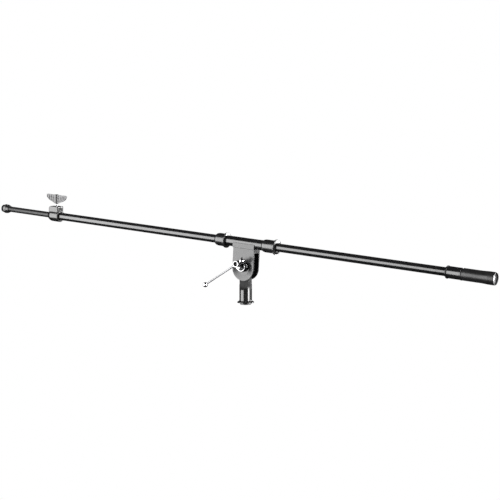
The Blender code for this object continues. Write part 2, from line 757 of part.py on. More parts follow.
def weight_collar(boom):
    """Sleeve over the tube's end with a raised front rim and an end wall for the stud."""
    wall_start = OUTER_RIGHT + GAP
    hole = WEIGHT_STUD_R + GAP
    profile = [
        (OUTER_R + GAP, WEIGHT_LEFT),
        (WEIGHT_R - WEIGHT_LIP, WEIGHT_LEFT),
        (WEIGHT_RIM_R, WEIGHT_LEFT + WEIGHT_RIM_LENGTH / 2),
        (WEIGHT_R, WEIGHT_LEFT + WEIGHT_RIM_LENGTH),
        (WEIGHT_R, WEIGHT_STEP - 1.5 * WEIGHT_LIP_LENGTH),
        (WEIGHT_R + WEIGHT_LIP, WEIGHT_STEP - WEIGHT_LIP_LENGTH),
        (WEIGHT_R + WEIGHT_LIP, WEIGHT_STEP - GAP),
        (hole, WEIGHT_STEP - GAP),
        (hole, wall_start),
        (OUTER_R + GAP, wall_start),
    ]
    return turned_x("weight_collar", profile, boom)


def weight_stud(boom):
    """Plug in the tube's end that carries the stud for the counterweight."""
    plug = OUTER_BORE_R - GAP
    plug_start = OUTER_RIGHT - GUIDE_LENGTH
    edge = WEIGHT_STUD_EDGE
    profile = [
        (0, plug_start),
        (plug, plug_start),
        (plug, OUTER_RIGHT),
        (WEIGHT_STUD_R, OUTER_RIGHT),
        (WEIGHT_STUD_R, WEIGHT_STUD_RIGHT - edge),
        (WEIGHT_STUD_R - edge, WEIGHT_STUD_RIGHT),
        (0, WEIGHT_STUD_RIGHT),
    ]
    return turned_x("weight_stud", profile, boom, segments=MEDIUM)


def weight_core(axle):
    """Steel slug. Its outer face is the bright disc in the recessed end."""
    left = WEIGHT_STEP + CORE_SET_BACK
    hole = WEIGHT_STUD_R + GAP
    depth = WEIGHT_STUD_RIGHT + CORE_CLEARANCE
    face = WEIGHT_RIGHT - END_RECESS
    profile = [(0, face), (CORE_R, face), (CORE_R, left), (hole, left), (hole, depth), (0, depth)]
    return turned_x("weight_core", profile, axle)


def weight_grip(axle):
    """Sleeve over the slug, with an inner lip at the step and a plain rim at the end."""
    bore = CORE_R + GAP
    left = WEIGHT_STEP + GAP
    edge = GRIP_EDGE
    taper_start, taper_end = GRIP_TAPER
    profile = [
        (bore, left),
        (GRIP_R - edge, left),
        (GRIP_R, left + edge),
        (GRIP_R, WEIGHT_RIGHT - taper_start),
        (GRIP_END_R, WEIGHT_RIGHT - taper_end),
        (GRIP_END_R, WEIGHT_RIGHT - edge),
        (GRIP_END_R - edge, WEIGHT_RIGHT),
        (bore, WEIGHT_RIGHT),
    ]
    return turned_x("weight_grip", profile, axle)


def build():
    clear_scene()
    black_metal = material("black_painted_metal", (0.02, 0.02, 0.022), 0.35, 0.0)
    black_cast = material("black_die_cast", (0.03, 0.03, 0.032), 0.45, 0.0)
    grey_metal = material("grey_painted_metal", (0.12, 0.12, 0.125), 0.45, 0.0)
    black_plastic = material("black_plastic", (0.025, 0.025, 0.027), 0.5, 0.0)
    grey_plastic = material("grey_plastic", (0.35, 0.35, 0.36), 0.45, 0.0)
    nylon = material("natural_nylon", (0.75, 0.74, 0.7), 0.5, 0.0)
    steel = material("bright_steel", (0.7, 0.7, 0.72), 0.25, 1.0)
    chrome = material("chrome", (0.85, 0.85, 0.87), 0.08, 1.0)
    fibre = material("friction_fibre", (0.08, 0.07, 0.06), 0.85, 0.0)

    pivot = empty("tilt_pivot", None, (0, 0, PIVOT_Z), (0, BOOM_TILT, 0))
    boom = empty("boom_slide", pivot, (0, 0, BOOM_HEIGHT))
    inner = empty("inner_slide", boom)
    wing_axle = empty("wing_axle", boom, (WING_X, 0, 0))
    screw_axle = empty("clamp_screw_axle", pivot)
    rod_slider = empty("t_bar_slide", screw_axle, (EYE_X, EYE_Y, EYE_Z), (0, -ROD_ANGLE, 0))
    weight_axle = empty("weight_axle", boom)

    discs = [friction_disc(-1, "friction_disc_front"), friction_disc(1, "friction_disc_rear")]
    rear_washer, rear_nut = rear_clamp(pivot)
    paint([stand_socket(), clamp_collar(boom)], black_cast)
    paint(discs, fibre)
    paint([clamp_bracket(pivot), sleeve_tube(pivot)], grey_metal)
    paint([*bushings(pivot), mic_stud(inner), lock_ring(inner)], black_plastic)
    paint([outer_tube(boom), inner_tube(inner), cheek_rivet(pivot), weight_collar(boom)], black_metal)
    paint([weight_grip(weight_axle)], black_plastic)
    paint([*liners(pivot), collar_bush(boom), brake_pad(boom), guide_plug(inner)], nylon)
    paint([thread_insert(), rear_washer, rear_nut, wing_shaft(wing_axle)], steel)
    paint([weight_core(weight_axle), weight_stud(boom)], steel)
    paint([wing_head(wing_axle)], grey_plastic)
    paint([front_washer(pivot), clamp_screw(screw_axle), *t_bar(rod_slider)], chrome)


build()
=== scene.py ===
"""Looks for the telescopic microphone boom arm: fine geometry, materials, camera and studio light.

Lengths in the boom's own frames are in millimetres and are scaled by MM. Azimuths are in degrees, with 0
looking along +Y and 90 along -X.
"""

import json
from math import atan2, cos, degrees, pi, radians, sin

import bmesh
import bpy
from mathutils import Matrix, Vector


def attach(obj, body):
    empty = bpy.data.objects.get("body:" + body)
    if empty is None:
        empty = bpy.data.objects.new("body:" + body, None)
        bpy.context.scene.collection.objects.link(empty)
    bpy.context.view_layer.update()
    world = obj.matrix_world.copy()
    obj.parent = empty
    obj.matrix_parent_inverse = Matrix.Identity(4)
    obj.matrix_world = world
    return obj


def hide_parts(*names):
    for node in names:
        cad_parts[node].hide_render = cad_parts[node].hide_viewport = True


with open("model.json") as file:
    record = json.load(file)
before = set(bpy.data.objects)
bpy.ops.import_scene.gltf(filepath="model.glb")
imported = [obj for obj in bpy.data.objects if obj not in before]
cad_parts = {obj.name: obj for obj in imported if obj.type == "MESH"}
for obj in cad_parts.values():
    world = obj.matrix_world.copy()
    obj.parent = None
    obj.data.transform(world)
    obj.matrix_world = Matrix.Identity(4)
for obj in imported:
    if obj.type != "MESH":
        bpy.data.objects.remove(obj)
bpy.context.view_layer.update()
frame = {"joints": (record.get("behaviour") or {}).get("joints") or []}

MM = 0.001
GAP = 0.3
FINE = 96  # sides of a round piece
SOFT = 48  # sides of a small round piece
SHARP_ANGLE = radians(38)
BEVEL_ANGLE = 35  # edges sharper than this many degrees are rounded off
REACH = 60.0  # longer than the bracket, for forms that cut across it
QUARTER = pi / 2

JOINTS = {joint["name"]: joint for joint in frame["joints"]}
PIVOT = Vector(JOINTS["boom_tilt"]["pos_m"])
BOOM_DIRECTION = Vector(JOINTS["boom_slide"]["axis"])
ROD_DIRECTION = Vector(JOINTS["t_bar_slide"]["axis"])
TILT = atan2(-BOOM_DIRECTION.z, BOOM_DIRECTION.x)
ROD_ANGLE = atan2(ROD_DIRECTION.z, ROD_DIRECTION.x) + TILT

BOOM_HEIGHT = 44.6
PIVOT_FRAME = Matrix.Translation(PIVOT) @ Matrix.Rotation(TILT, 4, "Y")
BOOM_FRAME = PIVOT_FRAME @ Matrix.Translation((0, 0, BOOM_HEIGHT * MM))
STAND_FRAME = Matrix.Identity(4)
WING_X = -498.5
WING_FRAME = BOOM_FRAME @ Matrix.Translation((WING_X * MM, 0, 0))
EYE = (-2.3, -27.0, 6.0)  # where the T-bar crosses the clamp screw's head, from the pivot
AT_EYE = PIVOT_FRAME @ Matrix.Translation([v * MM for v in EYE])
ROD_FRAME = AT_EYE @ Matrix.Rotation(-ROD_ANGLE, 4, "Y")
ALONG_X = Matrix.Rotation(QUARTER, 4, "Y")
ALONG_Y = Matrix.Rotation(-QUARTER, 4, "X")
UPRIGHT = Matrix.Identity(4)


# Meshes


def rounded(corners, steps=4):
    """Corners of (a, b) or (a, b, size): those with a size become a smooth curve of that size."""
    path = []
    for i, corner in enumerate(corners):
        here = Vector(corner[:2])
        if len(corner) == 2:
            path.append(tuple(here))
            continue
        before = Vector(corners[i - 1][:2]) - here
        after = Vector(corners[(i + 1) % len(corners)][:2]) - here
        start = here + before.normalized() * min(corner[2], before.length * 0.49)
        end = here + after.normalized() * min(corner[2], after.length * 0.49)
        for k in range(steps + 1):
            s = k / steps
            path.append(tuple((1 - s) ** 2 * start + 2 * s * (1 - s) * here + s**2 * end))
    return path


def arc(centre_a, centre_b, radius, start_deg, end_deg, steps):
    """Points of a circular arc, both ends included."""
    turn = (end_deg - start_deg) / steps
    angles = [radians(start_deg + turn * i) for i in range(steps + 1)]
    return [(centre_a + radius * cos(t), centre_b + radius * sin(t)) for t in angles]


def finish_mesh(name, data, place):
    bmesh.ops.recalc_face_normals(data, faces=data.faces)
    mesh = bpy.data.meshes.new(name)
    data.to_mesh(mesh)
    data.free()
    mesh.shade_smooth()
    mesh.set_sharp_from_angle(angle=SHARP_ANGLE)
    made = bpy.data.objects.new(name, mesh)
    bpy.context.collection.objects.link(made)
    made.matrix_world = place
    return made


def turned(name, profile, place, axis=ALONG_X, sides=FINE, radius=None):
    """A profile of (radius, height) turned about an axis.

    radius(r, height, angle) can give a finer surface than the profile's own r.
    """
    data = bmesh.new()
    rows = []
    for r, height in profile:
        if r < 1e-6:
            rows.append([data.verts.new(axis @ Vector((0, 0, height * MM)))])
            continue
        row = []
        for i in range(sides):
            angle = 2 * pi * i / sides
            reach = (radius(r, height, angle) if radius else r) * MM
            corner = Vector((reach * cos(angle), reach * sin(angle), height * MM))
            row.append(data.verts.new(axis @ corner))
        rows.append(row)
    pairs = list(zip(rows, rows[1:]))
    if len(rows[0]) > 1 and len(rows[-1]) > 1:
        pairs.append((rows[-1], rows[0]))
    for low, high in pairs:
        for i in range(sides):
            j = (i + 1) % sides
            corners = [low[i % len(low)], low[j % len(low)], high[j % len(high)], high[i % len(high)]]
            corners = list(dict.fromkeys(corners))
            if len(corners) > 2:
                data.faces.new(corners)
    return finish_mesh(name, data, place)


def plate(name, outline, low, high, place, bevel=0.0):
    """An outline of (x, z) points extruded along Y, with rounded edges where bevel is above 0."""
    data = bmesh.new()
    front = [data.verts.new((x * MM, low * MM, z * MM)) for x, z in outline]
    back = [data.verts.new((x * MM, high * MM, z * MM)) for x, z in outline]
    data.faces.new(front)
    data.faces.new(list(reversed(back)))
    for i in range(len(outline)):
        j = (i + 1) % len(outline)
        data.faces.new([front[j], front[i], back[i], back[j]])
    made = finish_mesh(name, data, place)
    if bevel:
        soften(made, bevel)
    return made


def turn_plate(name, outline, low, high, place):
    """An outline of (y, z) points extruded along X."""
    quarter = Matrix.Rotation(QUARTER, 4, "Z")
    return plate(name, outline, -high, -low, place @ quarter)


def soften(obj, width, steps=3, angle=BEVEL_ANGLE):
    """Round off the sharp edges, and keep the flat faces flat in the light."""
    step = obj.modifiers.new("soften", "BEVEL")
    step.width = width * MM
    step.segments = steps
    step.limit_method = "ANGLE"
    step.angle_limit = radians(angle)
    step.harden_normals = False
    shade = obj.modifiers.new("flat_faces", "WEIGHTED_NORMAL")
    shade.keep_sharp = True
    return obj


def combine(target, tool, operation):
    """The tool shapes the target and isn't a piece of its own."""
    step = target.modifiers.new(operation.lower(), "BOOLEAN")
    step.operation = operation
    step.solver = "EXACT"
    step.object = tool
    bpy.context.view_layer.update()
    evaluated = target.evaluated_get(bpy.context.evaluated_depsgraph_get())
    shaped = bpy.data.meshes.new_from_object(evaluated)
    target.modifiers.clear()
    target.data = shaped
    shaped.shade_smooth()
    shaped.set_sharp_from_angle(angle=SHARP_ANGLE)
    bpy.data.objects.remove(tool, do_unlink=True)
    return target


def cut(target, tool):
    return combine(target, tool, "DIFFERENCE")


def unite(target, tool):
    return combine(target, tool, "UNION")


def ring(inner, outer, low, high, edge=0.3):
    return rounded([(inner, low, edge), (outer, low, edge), (outer, high, edge), (inner, high, edge)])


def rod(radius, low, high, edge=0.5):
    return rounded([(0, low), (radius, low, edge), (radius, high, edge), (0, high)])


def heights(low, high, step):
    """Even heights from low to high, about a step apart."""
    count = max(1, round((high - low) / step))
    return [low + (high - low) * i / count for i in range(count + 1)]


def threaded(depth, pitch, low, high):
    """A radius rule for turned(): a helical thread between two heights, faded at both ends."""

    def radius(r, height, angle):
        if not low <= height <= high:
            return r
        phase = (height / pitch - angle / (2 * pi)) % 1.0
        fade = min(1.0, (height - low) / pitch, (high - height) / pitch)
        return r - depth * fade * abs(2 * phase - 1)

    return radius


def place_piece(obj, body, slot, material, *nodes):
    """Put a finished piece on its body, in place of the CAD nodes that it shows."""
    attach(obj, body)
    if nodes:
        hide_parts(*nodes)
    obj.data.materials.clear()
    obj.data.materials.append(material)
    return obj


# Materials

MIDDLE = (0.3, 0.7)  # the part of a noise's range that is spread over the whole of what it steers
PALE_DUST = (0.32, 0.31, 0.3)
PLASTIC_DUST = (0.35, 0.34, 0.33)
DUST_AMOUNT = 0.03
WEAR_NOISE = 420  # noise scales are in cells a metre
DUST_NOISE = 900
HAIRLINE_NOISE = 28
HAIRLINE_RUNS = 35
HAIRLINE_WIDTH = 0.004
MATT_SHINE = 0.12
MATT_ROUGHNESS = 0.45


class Finish:
    """A procedural surface: mottled colour, uneven gloss, grain, hairlines, rubbed edges and dust."""

    def __init__(self, name, metallic=0.0):
        self.material = bpy.data.materials.new(name)
        self.material.use_nodes = True
        self.nodes = self.material.node_tree.nodes
        self.links = self.material.node_tree.links
        self.shader = self.nodes["Principled BSDF"]
        self.shader.inputs["Metallic"].default_value = metallic
        self.coords = self.nodes.new("ShaderNodeTexCoord").outputs["Object"]
        self.bump = None

    def noise(self, scale, detail=3.0, stretch=(1, 1, 1)):
        mapping = self.nodes.new("ShaderNodeMapping")
        mapping.inputs["Scale"].default_value = stretch
        self.links.new(self.coords, mapping.inputs["Vector"])
        texture = self.nodes.new("ShaderNodeTexNoise")
        texture.inputs["Scale"].default_value = scale
        texture.inputs["Detail"].default_value = detail
        texture.inputs["Roughness"].default_value = 0.55
        self.links.new(mapping.outputs["Vector"], texture.inputs["Vector"])
        return texture.outputs["Fac"]

    def spread(self, value, low, high, out_low=0.0, out_high=1.0):
        step = self.nodes.new("ShaderNodeMapRange")
        step.inputs["From Min"].default_value = low
        step.inputs["From Max"].default_value = high
        step.inputs["To Min"].default_value = out_low
        step.inputs["To Max"].default_value = out_high
        self.links.new(value, step.inputs["Value"])
        return step.outputs["Result"]

    def maths(self, operation, first, second):
        step = self.nodes.new("ShaderNodeMath")
        step.operation = operation
        for socket, value in zip(step.inputs, (first, second)):
            if isinstance(value, (int, float)):
                socket.default_value = value
            else:
                self.links.new(value, socket)
        return step.outputs["Value"]

    def mix(self, factor, first, second):
        step = self.nodes.new("ShaderNodeMix")
        step.data_type = "RGBA"
        self.links.new(factor, step.inputs["Factor"])
        for socket, value in ((step.inputs["A"], first), (step.inputs["B"], second)):
            if isinstance(value, tuple):
                socket.default_value = (*value, 1.0)
            else:
                self.links.new(value, socket)
        return step.outputs["Result"]

    def height(self):
        parts = self.nodes.new("ShaderNodeSeparateXYZ")
        self.links.new(self.coords, parts.inputs["Vector"])
        return parts.outputs["Z"]

    def raise_surface(self, height, distance):
        step = self.nodes.new("ShaderNodeBump")
        step.inputs["Strength"].default_value = 1.0
        step.inputs["Distance"].default_value = distance * MM
        self.links.new(height, step.inputs["Height"])
        if self.bump:
            self.links.new(self.bump, step.inputs["Normal"])
        self.bump = step.outputs["Normal"]

    def mottle(self, scale, detail, low=0.0, high=1.0):
        return self.spread(self.noise(scale, detail), *MIDDLE, low, high)

    def rubbed(self):
        """Where a convex edge has lost its finish, in patches."""
        geometry = self.nodes.new("ShaderNodeNewGeometry")
        edges = self.spread(geometry.outputs["Pointiness"], 0.58, 0.68)
        return self.maths("MULTIPLY", edges, self.spread(self.noise(WEAR_NOISE, 4), 0.42, 0.62))

    def dust(self):
        """A little dust on the surfaces that face up."""
        geometry = self.nodes.new("ShaderNodeNewGeometry")
        parts = self.nodes.new("ShaderNodeSeparateXYZ")
        self.links.new(geometry.outputs["Normal"], parts.inputs["Vector"])
        upward = self.spread(parts.outputs["Z"], 0.3, 1.0, 0.0, DUST_AMOUNT)
        return self.maths("MULTIPLY", upward, self.spread(self.noise(DUST_NOISE, 4), 0.4, 0.75))

    def scratches(self, stretch):
        """Hairlines along the contours of a drawn-out noise, broken into short runs."""
        offset = self.maths("SUBTRACT", self.noise(HAIRLINE_NOISE, 2, stretch), 0.5)
        line = self.spread(self.maths("ABSOLUTE", offset, 0.0), 0.0, HAIRLINE_WIDTH, 1.0, 0.0)
        return self.maths("MULTIPLY", line, self.spread(self.noise(HAIRLINE_RUNS, 2), 0.52, 0.6))

    def done(self, color, rough, shine=0.5):
        self.shader.inputs["Specular IOR Level"].default_value = shine
        self.links.new(color, self.shader.inputs["Base Color"])
        self.links.new(rough, self.shader.inputs["Roughness"])
        if self.bump:
            self.links.new(self.bump, self.shader.inputs["Normal"])
        return self.material


def painted(name, dark, light, gloss, grain, worn, stretch=(1, 9, 9), matt_between=None, shine=0.5):
    """Paint over metal.

    gloss is the (low, high) roughness, grain the (scale, depth) of the fine relief and worn the colour of
    rubbed edges. matt_between gives two heights in metres: the surface turns matt from one to the other.
    """
    finish = Finish(name)
    color = finish.mix(finish.mottle(45, 4), dark, light)
    color = finish.mix(finish.rubbed(), color, worn)
    marks = finish.scratches(stretch)
    color = finish.mix(finish.maths("MULTIPLY", marks, 0.35), color, worn)
    color = finish.mix(finish.dust(), color, PALE_DUST)
    rough = finish.mottle(160, 5, *gloss)
    rough = finish.maths("ADD", rough, finish.maths("MULTIPLY", marks, 0.18))
    if matt_between:
        duller = finish.spread(finish.height(), *matt_between, shine, MATT_SHINE)
        finish.links.new(duller, finish.shader.inputs["Specular IOR Level"])
        rougher = finish.spread(finish.height(), *matt_between, 0.0, MATT_ROUGHNESS)
        rough = finish.maths("ADD", rough, rougher)
    grain_scale, grain_depth = grain
    finish.raise_surface(finish.noise(grain_scale, 3), grain_depth)
    finish.raise_surface(marks, -0.01)
    return finish.done(color, rough, shine)


def plastic(name, dark, light, gloss, grain, worn, shine=0.5):
    """Moulded plastic or fibre, with the same meanings as painted()."""
    finish = Finish(name)
    color = finish.mix(finish.mottle(70, 4), dark, light)
    color = finish.mix(finish.rubbed(), color, worn)
    color = finish.mix(finish.dust(), color, PLASTIC_DUST)
    marks = finish.scratches((7, 3, 7))
    rough = finish.mottle(220, 5, *gloss)
    rough = finish.maths("ADD", rough, finish.maths("MULTIPLY", marks, 0.12))
    grain_scale, grain_depth = grain
    finish.raise_surface(finish.noise(grain_scale, 2), grain_depth)
    finish.raise_surface(marks, -0.008)
    return finish.done(color, rough, shine)


def bare_metal(name, dark, light, gloss, line_depth, stain, stretch=(1, 1, 1)):
    """Plated or machined metal: stretch draws out the tool lines, stain is the colour of dull patches."""
    finish = Finish(name, metallic=1.0)
    color = finish.mix(finish.mottle(60, 4), dark, light)
    patches = finish.spread(finish.noise(240, 5), 0.56, 0.7, 0.0, 0.6)
    color = finish.mix(patches, color, stain)
    lines = finish.noise(700, 3, stretch)
    rough = finish.mottle(150, 5, *gloss)
    rough = finish.maths("ADD", rough, finish.maths("MULTIPLY", patches, 0.15))
    finish.raise_surface(lines, line_depth)
    return finish.done(color, rough)


DEEP_BLACK = (0.003, 0.003, 0.0032)
SOFT_BLACK = (0.007, 0.007, 0.0074)
WARM_BLACK = (0.004, 0.004, 0.0042)
WORN_BLACK = (0.009, 0.009, 0.0094)
EDGE_GREY = (0.05, 0.05, 0.05)
TUBE_EDGE = (0.06, 0.06, 0.06)

TUBE_PAINT = painted(
    "gloss_black_paint", DEEP_BLACK, (0.006, 0.006, 0.0064), (0.14, 0.22), (700, 0.003), TUBE_EDGE
)
INNER_PAINT = painted(
    "satin_black_tube", WARM_BLACK, (0.008, 0.008, 0.0084), (0.26, 0.36), (1400, 0.003), TUBE_EDGE, shine=0.22
)
CAST_PAINT = painted(
    "black_cast_paint", DEEP_BLACK, SOFT_BLACK, (0.2, 0.26), (900, 0.006), EDGE_GREY, (4, 4, 4)
)
SOCKET_PAINT = painted(
    "black_socket_paint",
    DEEP_BLACK,
    SOFT_BLACK,
    (0.13, 0.17),
    (900, 0.002),
    (0.012, 0.012, 0.012),
    (4, 4, 4),
    matt_between=(0.030, 0.037),
)
BRACKET_PAINT = painted(
    "satin_bracket_paint",
    (0.005, 0.005, 0.0053),
    (0.01, 0.01, 0.0105),
    (0.26, 0.32),
    (1100, 0.003),
    EDGE_GREY,
    (3, 3, 3),
    shine=0.42,
)
BLACK_PLASTIC = plastic("black_plastic", WARM_BLACK, WORN_BLACK, (0.2, 0.3), (1100, 0.005), EDGE_GREY)
GRIP_PLASTIC = plastic("black_grip", WARM_BLACK, WORN_BLACK, (0.3, 0.42), (1800, 0.006), EDGE_GREY, 0.3)
GREY_PLASTIC = plastic(
    "grey_plastic", (0.05, 0.05, 0.052), (0.085, 0.085, 0.087), (0.4, 0.55), (1500, 0.02), (0.16, 0.16, 0.16)
)
NYLON = plastic(
    "natural_nylon", (0.68, 0.67, 0.63), (0.8, 0.79, 0.75), (0.35, 0.5), (900, 0.01), (0.85, 0.84, 0.8)
)
FIBRE = plastic(
    "friction_fibre", (0.05, 0.045, 0.04), (0.1, 0.09, 0.08), (0.75, 0.95), (2200, 0.06), (0.14, 0.13, 0.12)
)
ZINC = bare_metal(
    "zinc_steel", (0.5, 0.5, 0.51), (0.66, 0.66, 0.67), (0.24, 0.4), 0.004, (0.36, 0.35, 0.34)
)
TURNED_STEEL = bare_metal(
    "turned_steel", (0.56, 0.56, 0.57), (0.7, 0.7, 0.71), (0.26, 0.38), 0.004, (0.45, 0.44, 0.43), (1, 1, 6)
)
BLACK_OXIDE = bare_metal(
    "black_oxide_steel", (0.03, 0.03, 0.031), (0.05, 0.05, 0.051), (0.3, 0.45), 0.003, (0.02, 0.02, 0.02)
)
DULL_PLATING = bare_metal(
    "dull_plated_rod", (0.14, 0.14, 0.145), (0.2, 0.2, 0.205), (0.28, 0.4), 0.004, (0.1, 0.1, 0.1)
)
DARK_PLATING = bare_metal(
    "plated_steel", (0.17, 0.17, 0.173), (0.23, 0.23, 0.233), (0.16, 0.26), 0.001, (0.15, 0.15, 0.15)
)
CHROME = bare_metal(
    "chrome", (0.6, 0.6, 0.61), (0.72, 0.72, 0.73), (0.14, 0.24), 0.001, (0.62, 0.61, 0.6)
)


# Stand socket

SOCKET_R = 12.3
SOCKET_BASE = 3.4
PIVOT_HEIGHT = PIVOT.z / MM
TONGUE_R = 12.5
TONGUE_HALF = 5.8
HOLE_R = 4.3
COLUMN_TOP = 39.8
TONGUE_BASE = 39.5
TONGUE_HALF_WIDTH = 10.5
RAMP_LOW = 28.5
RAMP_HIGH = 37.5
DISC_R = 12.0
DISC_THICK = 0.8
THREAD_R = 7.45
THREAD_PITCH = 0.94  # 27 threads an inch
INSERT_R = 9.5
INSERT_LIP_R = 11.0
INSERT_TOP = 24.0
STUD_SOCKET_R = 9.8
STUD_SOCKET_TOP = 26.0
SHAPE_STEPS = 6  # steps of a rounded corner that shows
THREAD_STEPS = 6  # rows of faces a turn


def stand_casting():
    """Round column with a flared foot, a hole for the insert and the tongue on top."""
    base = SOCKET_BASE
    profile = rounded(
        [
            (0, STUD_SOCKET_TOP),
            (STUD_SOCKET_R, STUD_SOCKET_TOP - 1.2),
            (STUD_SOCKET_R, base),
            (16.4, base, 0.5),
            (16.4, base + 1.6, 1.0),
            (SOCKET_R, base + 3.6, 2.2),
            (SOCKET_R, COLUMN_TOP, 2.5),
            (10.6, 45.4, 2.2),
            (8.5, 47.4, 0.8),
            (0, 47.4),
        ],
        SHAPE_STEPS,
    )
    body = turned("socket_casting", profile, STAND_FRAME, UPRIGHT)
    outline = arc(0, PIVOT_HEIGHT, TONGUE_R, 0, 180, 48)
    half, low, high = TONGUE_HALF_WIDTH, TONGUE_BASE, PIVOT_HEIGHT - 17.4
    outline += rounded([(-half, high, 5.0), (-half, low), (half, low), (half, high, 5.0)])
    unite(body, plate("tongue_form", outline, -TONGUE_HALF, TONGUE_HALF, STAND_FRAME))
    for side in (-1, 1):
        wide, high = 2 * DISC_R + 2, 76.0
        ramp = rounded(
            [
                (SOCKET_R + GAP, RAMP_LOW),
                (TONGUE_HALF, RAMP_HIGH, 4.0),
                (TONGUE_HALF, high),
                (wide, high),
                (wide, RAMP_LOW),
            ]
        )
        tool = plate("ramp_form", [(side * y, z) for y, z in ramp], -wide, wide, STAND_FRAME)
        tool.matrix_world = Matrix.Rotation(QUARTER, 4, "Z")
        cut(body, tool)
    hole = turned("hole_form", rod(HOLE_R, -20.0, 20.0), Matrix.Translation(PIVOT), ALONG_Y, SOFT)
    return soften(cut(body, hole), 0.45)


def insert():
    """Flanged bushing with a real stand thread inside."""
    low, high, depth = 0.8, INSERT_TOP - 0.4, 0.45
    inside = [(THREAD_R + depth, z) for z in reversed(heights(low, high, THREAD_PITCH / THREAD_STEPS))]
    lip_top = SOCKET_BASE - GAP
    outside = rounded(
        [
            (8.6, 0.0, 0.3),
            (INSERT_LIP_R, 0.0, 0.6),
            (INSERT_LIP_R, lip_top, 0.3),
            (INSERT_R, lip_top),
            (INSERT_R, INSERT_TOP, 0.4),
        ]
    )
    rule = threaded(depth, THREAD_PITCH, low, high)

    def bore_only(r, height, angle):
        return rule(r, height, angle) if r < THREAD_R + 2 * depth else r

    profile = [*outside, (THREAD_R + 0.6, INSERT_TOP), *inside]
    return turned("insert", profile, STAND_FRAME, UPRIGHT, SOFT, bore_only)


def stand_pieces():
    place_piece(stand_casting(), "stand", "black_cast", SOCKET_PAINT, "stand_socket")
    place_piece(insert(), "stand", "zinc_steel", BLACK_OXIDE, "thread_insert")
    for name, side in (("friction_disc_front", -1), ("friction_disc_rear", 1)):
        near = side * (TONGUE_HALF + GAP)
        profile = ring(HOLE_R + GAP, DISC_R, near, near + side * DISC_THICK, 0.2)
        disc = turned(name + "_fine", profile, Matrix.Translation(PIVOT), ALONG_Y)
        place_piece(disc, "stand", "friction_fibre", FIBRE, name)


# Clamp bracket

CHEEK_IN = 7.2
CHEEK_OUT = 10.3
CHEEK_HALF = 24.3
CHEEK_TOP = 35.0
CHEEK_ROUND_Z = -4.0
SADDLE_BOTTOM = 27.5
CRADLE_HALF = 11.3  # the bracket's upper part, which holds the sleeve up to its middle
CRADLE_BOTTOM = 34.6
CRADLE_OVERHANG = 1.2  # past the cheeks, on the microphone side
DISH_R = 22.4
DISH_TOP = 8.8
DISH_DEPTH = 2.7
DISH_SLOPE = 9.5  # how far in from its outline the dish keeps deepening
DISH_CORNER = 3.0
DISH_CORNER_DEG = 32  # where the straight top edge would meet the round
SLEEVE_BORE = 8.9
SLEEVE_R = 10.0
SLEEVE_LEFT = -57.0
SLEEVE_RIGHT = 56.0
LINER_LENGTH = 9.0
RIVET = (-2.2, 15.5)
RIVET_R = 1.9
RIVET_SET_BACK = 2.2
AT_RIVET = PIVOT_FRAME @ Matrix.Translation((RIVET[0] * MM, 0, RIVET[1] * MM))
BUSHING_R = 12.5
FLANGE_R = 14.9
NUT_R = 7.5
NUT_THICK = 6.0
NUT_CHAMFER = 0.7
REAR_WASHER_R = 9.5
REAR_WASHER_THICK = 1.6


def bracket():
    """Two cheeks joined under the sleeve, with a dish round the pivot in each."""
    outline = rounded(
        [
            (-CHEEK_HALF, CHEEK_ROUND_Z),
            (-CHEEK_HALF, CHEEK_TOP, 1.0),
            (CHEEK_HALF, CHEEK_TOP, 1.0),
            (CHEEK_HALF, CHEEK_ROUND_Z),
        ],
        8,
    )
    outline += arc(0, CHEEK_ROUND_Z, CHEEK_HALF, 0, -180, 64)[1:-1]
    body = plate("bracket", outline, -CHEEK_OUT, CHEEK_OUT, PIVOT_FRAME)
    gap = [(-REACH, -REACH), (REACH, -REACH), (REACH, SADDLE_BOTTOM), (-REACH, SADDLE_BOTTOM)]
    cut(body, plate("gap_form", gap, -CHEEK_IN, CHEEK_IN, PIVOT_FRAME))
    cradle = rounded(
        [
            (-CRADLE_HALF, CRADLE_BOTTOM, 0.8),
            (CRADLE_HALF, CRADLE_BOTTOM, 0.8),
            (CRADLE_HALF, BOOM_HEIGHT, 0.5),
            (-CRADLE_HALF, BOOM_HEIGHT, 0.5),
        ],
        8,
    )
    left = -CHEEK_HALF - CRADLE_OVERHANG
    unite(body, turn_plate("cradle_form", cradle, left, CHEEK_HALF, PIVOT_FRAME))
    cut(body, turned("seat_form", rod(SLEEVE_R + GAP, -REACH, REACH), BOOM_FRAME))
    for side in (-1, 1):
        cut(body, dish_form(dish_outline(), side))
    cut(body, turned("hole_form", rod(HOLE_R, -20.0, 20.0), PIVOT_FRAME, ALONG_Y, SOFT))
    cut(body, turned("rivet_form", rod(RIVET_R + 0.4, -20.0, 20.0), AT_RIVET, ALONG_Y, SOFT))
    return soften(body, 0.4, 3, 13)


def dish_outline():
    """A round with a straight top edge."""
    half = DISH_R * cos(radians(DISH_CORNER_DEG))
    low = DISH_TOP - DISH_CORNER
    drop = degrees(atan2(low - CHEEK_ROUND_Z, half))
    edge = half - 0.4
    top = [(half, low), (edge, DISH_TOP, DISH_CORNER), (-edge, DISH_TOP, DISH_CORNER), (-half, low)]
    return rounded(top, 8) + arc(0, CHEEK_ROUND_Z, DISH_R, 180 - drop, 360 + drop, 64)


